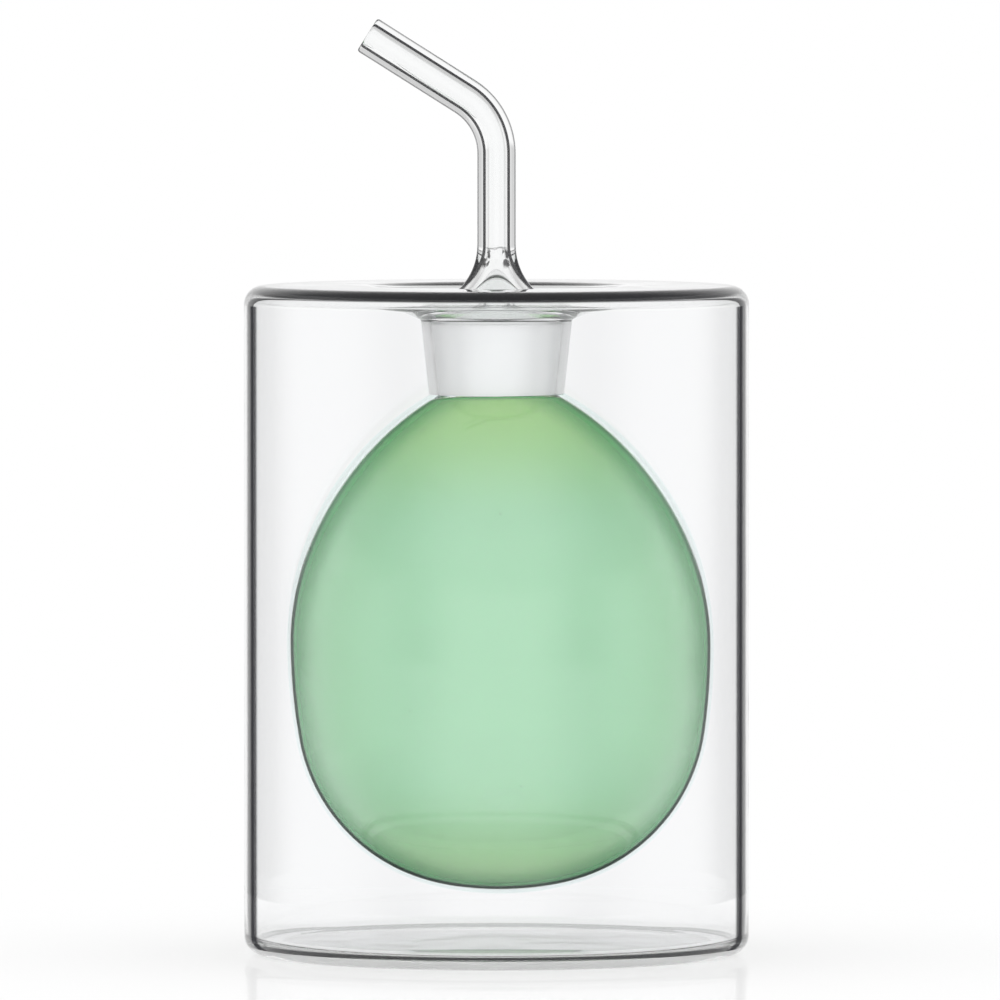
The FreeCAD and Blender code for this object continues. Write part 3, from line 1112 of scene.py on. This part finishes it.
@dataclass
class Stopper:
    """The hollow ground stopper with its bent pouring tube."""

    outside: PolishedGlass
    inside: PolishedGlass
    ground: GroundGlass
    sizes: StopperSizes = field(default_factory=StopperSizes)
    segments: int = 96
    rise_steps: int = 8
    bend_steps: int = 24
    spout_steps: int = 6
    rim_steps: int = 5
    longest_run: float = 1.5
    piece: bpy.types.Object | None = None

    def outline(self) -> list[Point]:
        """The bell's outline, from the collar down, in and up again.

        Returns:
            Radius and height of each point.
        """
        size = self.sizes
        points = outline(
            [
                Corner(size.tube_radius, size.collar_top),
                Corner(size.tube_radius, size.peak, size.bell_blend, 14),
                Corner(size.lip_radius, size.lip, size.shoulder_blend, 8),
                Corner(size.foot_radius, size.foot, size.foot_blend, 4),
                Corner(size.hollow_foot, size.foot, size.foot_blend, 4),
                Corner(size.hollow_lip_radius, size.hollow_lip, size.hollow_shoulder, 6),
                Corner(size.bore_radius, size.hollow_peak, size.hollow_bell, 14),
                Corner(size.bore_radius, size.collar_top),
            ]
        )
        return divided(points, self.longest_run)

    def extrude_rings(self, way: Vector, length: float, steps: int) -> None:
        """Extrudes the selected rings one way in equal steps.

        Args:
            way: The direction.
            length: The whole length, in millimetres.
            steps: Number of steps.
        """
        step = way * (length / steps * MM)
        for _step in range(steps):
            bpy.ops.mesh.extrude_region_move(TRANSFORM_OT_translate={"value": step})

    def draw_tube(self, piece: bpy.types.Object) -> None:
        """Draws the tube up from the collar, round the bend and to its tip.

        Args:
            piece: The stopper in edit mode.
        """
        size = self.sizes
        self.select_top_rings(piece, size.collar_top)
        rise = size.bend_start - size.collar_top
        self.extrude_rings(Vector((0.0, 0.0, 1.0)), rise, self.rise_steps)
        centre = Vector((-size.bend_radius, 0.0, size.bend_start)) * MM
        bend = math.radians(size.bend_angle)
        bpy.ops.mesh.spin(steps=self.bend_steps, angle=bend, center=centre, axis=(0, 1, 0))
        way = Vector((-math.sin(bend), 0.0, math.cos(bend)))
        self.extrude_rings(way, size.spout, self.spout_steps)
        bpy.ops.mesh.bridge_edge_loops()

    def from_tube_line(self, place: Vector) -> float:
        """Measures how far a place lies from the tube's middle line.

        Args:
            place: A place on the tube, in millimetres.

        Returns:
            The distance, in millimetres.
        """
        size = self.sizes
        from_centre = Vector((place.x + size.bend_radius, place.z - size.bend_start))
        turned = math.atan2(from_centre.y, from_centre.x)
        turned = min(max(turned, 0.0), math.radians(size.bend_angle))
        across = Vector((math.cos(turned), math.sin(turned)))
        return math.hypot(from_centre.dot(across) - size.bend_radius, place.y)

    def select_top_rings(self, piece: bpy.types.Object, height: float) -> None:
        """Selects the two open rings at one height.

        Args:
            piece: The stopper in edit mode.
            height: Height of the rings.
        """
        bpy.ops.mesh.select_mode(type="EDGE")
        bpy.ops.mesh.select_all(action="DESELECT")
        bpy.ops.object.mode_set(mode="OBJECT")
        spots = piece.data.vertices
        for edge in piece.data.edges:
            edge.select = all(abs(spots[end].co.z / MM - height) < TOUCH for end in edge.vertices)
        bpy.ops.object.mode_set(mode="EDIT")

    def round_rim(self, piece: bpy.types.Object) -> None:
        """Rounds the two edges of the tube's tip.

        Args:
            piece: The stopper in edit mode.
        """
        size = self.sizes
        bend = math.radians(size.bend_angle)
        way = Vector((-math.sin(bend), 0.0, math.cos(bend)))
        select_faces(
            piece, lambda place, normal: place.z > size.bend_start and normal.dot(way) > 1.0 - TOUCH
        )
        bpy.ops.mesh.select_mode(type="EDGE")
        bpy.ops.mesh.region_to_loop()
        bpy.ops.mesh.bevel(offset=size.rim_round * MM, segments=self.rim_steps, affect="EDGES")

    def part_at(self, place: Vector, normal: Vector) -> Part:
        """Names the part of the stopper that a face belongs to.

        Args:
            place: The face's centre, in millimetres.
            normal: The face's normal.

        Returns:
            The part.
        """
        size = self.sizes
        outwards = normal.x * place.x + normal.y * place.y > 0.0
        if place.z >= size.collar_top:
            in_bore = self.from_tube_line(place) < (size.tube_radius + size.bore_radius) / 2.0
            return Part.INSIDE if in_bore else Part.OUTSIDE
        if outwards and size.foot < place.z < size.ground_top:
            return Part.GROUND
        return Part.OUTSIDE if outwards else Part.INSIDE

    def build(self) -> None:
        """Models the stopper."""
        piece = turned_piece("stopper", self.outline(), self.segments)
        self.draw_tube(piece)
        close_seams()
        self.round_rim(piece)
        close_seams()
        finish_faces(
            piece,
            {Part.OUTSIDE: self.outside, Part.INSIDE: self.inside, Part.GROUND: self.ground},
            self.part_at,
        )
        finish_piece(piece)
        self.piece = piece

    def dress(self) -> None:
        """Puts the stopper into the frame."""
        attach(self.piece, "root")
        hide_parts("stopper_spout")


# --- studio


@dataclass(frozen=True)
class Screens:
    """Dark screens at the four diagonals and above, by angles in degrees."""

    side: tuple[float, float]
    roof: tuple[float, float]
    dark: float
    level: tuple[float, float] = (-7.0, -3.5)

    def brightness(self, board: NodeBoard, aside: Socket, rise: Socket) -> Socket:
        """Works out how bright the room is in each direction.

        Args:
            board: The world's board.
            aside: Angle from the nearest of front, back and the two sides.
            rise: Angle above the level.

        Returns:
            1 in the open, and the screens' own brightness behind them.
        """
        level, side, roof = (
            board.spread(angle, *map(math.radians, limits))
            for angle, limits in ((rise, self.level), (aside, self.side), (rise, self.roof))
        )
        share = board.product(board.larger(board.product(side, level), roof), 1.0 - self.dark)
        return board.calc("SUBTRACT", 1.0, share)


@dataclass(frozen=True)
class Studio:
    """A pale table, soft white surroundings and the camera."""

    floor_sides: int = 128
    floor_reach: float = 0.16
    floor_fade: float = 0.05
    floor_glow: float = 0.6
    floor_white: float = 0.98
    sheen_start: float = 0.11
    sheen_end: float = 0.1552
    sheen_share: float = 0.35
    sheen_power: float = 12.0
    sheen_roughness: float = 0.015
    sharp: Screens = Screens((18.0, 45.0), (16.0, 28.0), 0.62)
    soft: Screens = Screens((8.0, 45.0), (5.0, 60.0), 0.4)
    soft_light: float = 1.06
    camera_place: tuple[float, float, float] = (0.00055, -2.5, 0.178)
    camera_aim: tuple[float, float, float] = (0.00055, 0.0, 0.072)
    picture_width: float = 0.1584
    sensor: float = 36.0
    glass_bounces: int = 24
    other_bounces: int = 12

    def floor(self) -> None:
        """Makes the table's top, which fades into the room at its edge."""
        bpy.ops.object.select_all(action="DESELECT")
        bpy.ops.mesh.primitive_circle_add(
            vertices=self.floor_sides, radius=self.floor_reach, fill_type="NGON"
        )
        floor = bpy.context.object
        floor.name = "table"
        board = FinishBoard("pale table")
        board.shader.inputs["Base Color"].default_value = (*(self.floor_white,) * 3, 1.0)
        board.shader.inputs["Roughness"].default_value = 1.0
        board.shader.inputs["Specular IOR Level"].default_value = 0.0
        gloss = board.add("ShaderNodeBsdfGlossy")
        gloss.inputs["Roughness"].default_value = self.sheen_roughness
        gloss.inputs["Color"].default_value = (1.0,) * 4
        glow = board.add("ShaderNodeEmission")
        from_middle = board.add("ShaderNodeVectorMath", operation="LENGTH")
        board.join(board.place, from_middle.inputs[0])
        away = from_middle.outputs["Value"]
        far = board.spread(away, self.floor_fade, self.floor_reach, self.floor_glow)
        lit = board.mix_shaders(far, board.shader.outputs[0], glow.outputs[0])
        near = board.spread(away, self.sheen_start, self.sheen_end, 1.0, 0.0)
        low = board.product(board.calc("POWER", board.turned, self.sheen_power), self.sheen_share)
        whole = board.mix_shaders(board.product(near, low), lit, gloss.outputs[0])
        board.join(whole, board.surface)
        floor.data.materials.append(board.material)

    def surroundings(self) -> None:
        """Makes the white room with its dark screens.

        Light that comes straight through the glass sees the sharp screens,
        mirrored light sees the soft ones, and scattered light sees none.
        """
        world = bpy.data.worlds.new("studio")
        bpy.context.scene.world = world
        world.use_nodes = True
        board = NodeBoard(world.node_tree)
        split = board.add("ShaderNodeSeparateXYZ")
        board.join(board.add("ShaderNodeTexCoord").outputs["Generated"], split.inputs[0])
        quarter = TURN / 4.0
        turn = board.calc("ARCTAN2", split.outputs["Y"], split.outputs["X"])
        within = board.calc("MODULO", board.total(turn, TURN + quarter / 2.0), quarter)
        aside = board.calc("ABSOLUTE", board.calc("SUBTRACT", within, quarter / 2.0))
        rise = board.calc("ARCSINE", split.outputs["Z"])
        rays = board.add("ShaderNodeLightPath").outputs
        scattered = board.calc("MINIMUM", rays["Diffuse Depth"], 1.0)
        direct = board.calc("SUBTRACT", 1.0, scattered)
        passed = rays["Is Transmission Ray"]
        bounced = board.product(rays["Is Glossy Ray"], board.calc("SUBTRACT", 1.0, passed))
        strength = board.total(board.product(scattered, self.soft_light), rays["Is Camera Ray"])
        for kind, screens in ((passed, self.sharp), (bounced, self.soft)):
            bright = screens.brightness(board, aside, rise)
            seen = board.product(board.product(kind, direct), bright)
            strength = board.total(strength, seen)
        background = world.node_tree.nodes["Background"]
        board.join(strength, background.inputs["Strength"])
        background.inputs["Color"].default_value = (1.0,) * 4

    def camera(self) -> None:
        """Places the camera."""
        bpy.ops.object.camera_add(location=self.camera_place)
        camera = bpy.context.object
        sight = Vector(self.camera_aim) - Vector(self.camera_place)
        camera.rotation_euler = sight.to_track_quat("-Z", "Y").to_euler()
        camera.data.sensor_width = self.sensor
        camera.data.lens = self.sensor * sight.length / self.picture_width
        camera.data.clip_end = 50.0
        bpy.context.scene.camera = camera

    def build(self) -> None:
        """Makes the whole studio."""
        self.floor()
        self.surroundings()
        self.camera()
        scene = bpy.context.scene
        scene.view_settings.view_transform = "Standard"
        scene.cycles.max_bounces = self.glass_bounces
        scene.cycles.transmission_bounces = self.glass_bounces
        scene.cycles.glossy_bounces = self.other_bounces
        scene.cycles.diffuse_bounces = self.other_bounces


# --- the cruet


def main() -> None:
    """Builds the cruet piece by piece and the studio round it."""
    logging.basicConfig(level=logging.INFO, format="%(name)s: %(message)s")
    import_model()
    jacket = Jacket(
        outside=PolishedGlass(
            "clear glass", (0.985, 0.988, 0.988), line=SightLine(0.731, 0.06, 0.88, 0.88)
        ),
        inside=PolishedGlass(
            "clear glass, inner side",
            (0.96, 0.963, 0.97),
            (0.3, 0.31, 0.33),
            trapped=TrappedLight(0.012, piped=0.35, piped_end=0.75),
        ),
        ground=GroundGlass("ground glass"),
        plate=PolishedGlass(
            "clear glass, top plate",
            (0.985, 0.988, 0.988),
            trapped=TrappedLight(0.012, piped=0.28, piped_soft=0.03),
        ),
        base=PolishedGlass(
            "clear glass, base",
            (0.972, 0.975, 0.985),
            (0.8, 0.81, 0.84),
            wave_size=13.0,
            wave_depth=0.12,
        ),
        # The foot's white diffuse half is wear, and painted light from the pale table below.
        foot=PolishedGlass(
            "clear glass, scuffed foot", (0.99, 0.99, 0.992), (0.96, 0.96, 0.965), scuff_and_painted_light=0.5
        ),
        funnel=PolishedGlass("clear glass, under the funnel", (0.975, 0.98, 0.985)),
    )
    jacket.build()
    jacket.dress()
    bulb = Bulb(
        outside=PolishedGlass(
            "green glass, outer side",
            (0.96, 0.99, 0.985),
            (0.68, 0.92, 0.92),
            0.6,
            line=SightLine(0.787, 0.045, 1.0, 0.42, 50.0, 74.0, level=50.0, drift=0.09),
            rim=TintedRim((0.46, 0.64, 0.51), (0.05, 0.46, 0.12), (0.955, 0.992, 0.99)),
            dark=(0.03, 0.075, 0.05),
        ),
        inside=GreenTint(
            "green glass, inner side",
            belly=(0.454, 0.779, 0.513),
            neck=(0.52, 0.805, 0.275),
            foot=(0.475, 0.735, 0.36),
            edge=(0.25, 0.42, 0.3),
            neck_range=(68.0, 92.0),
            foot_range=(9.0, 26.0),
        ),
    )
    bulb.build()
    bulb.dress()
    stopper = Stopper(
        outside=PolishedGlass(
            "stopper glass", (0.985, 0.988, 0.988), line=SightLine(0.75, 0.2, 0.62, 0.62)
        ),
        inside=PolishedGlass(
            "stopper glass, bore",
            (0.97, 0.975, 0.975),
            (0.3, 0.32, 0.33),
            0.8,
            trapped=TrappedLight(0.0, piped=0.36),
            weld=Weld(111.8),
        ),
        ground=GroundGlass("ground stopper cone"),
    )
    stopper.build()
    stopper.dress()
    Studio().build()


if __name__ == "__main__":
    main()
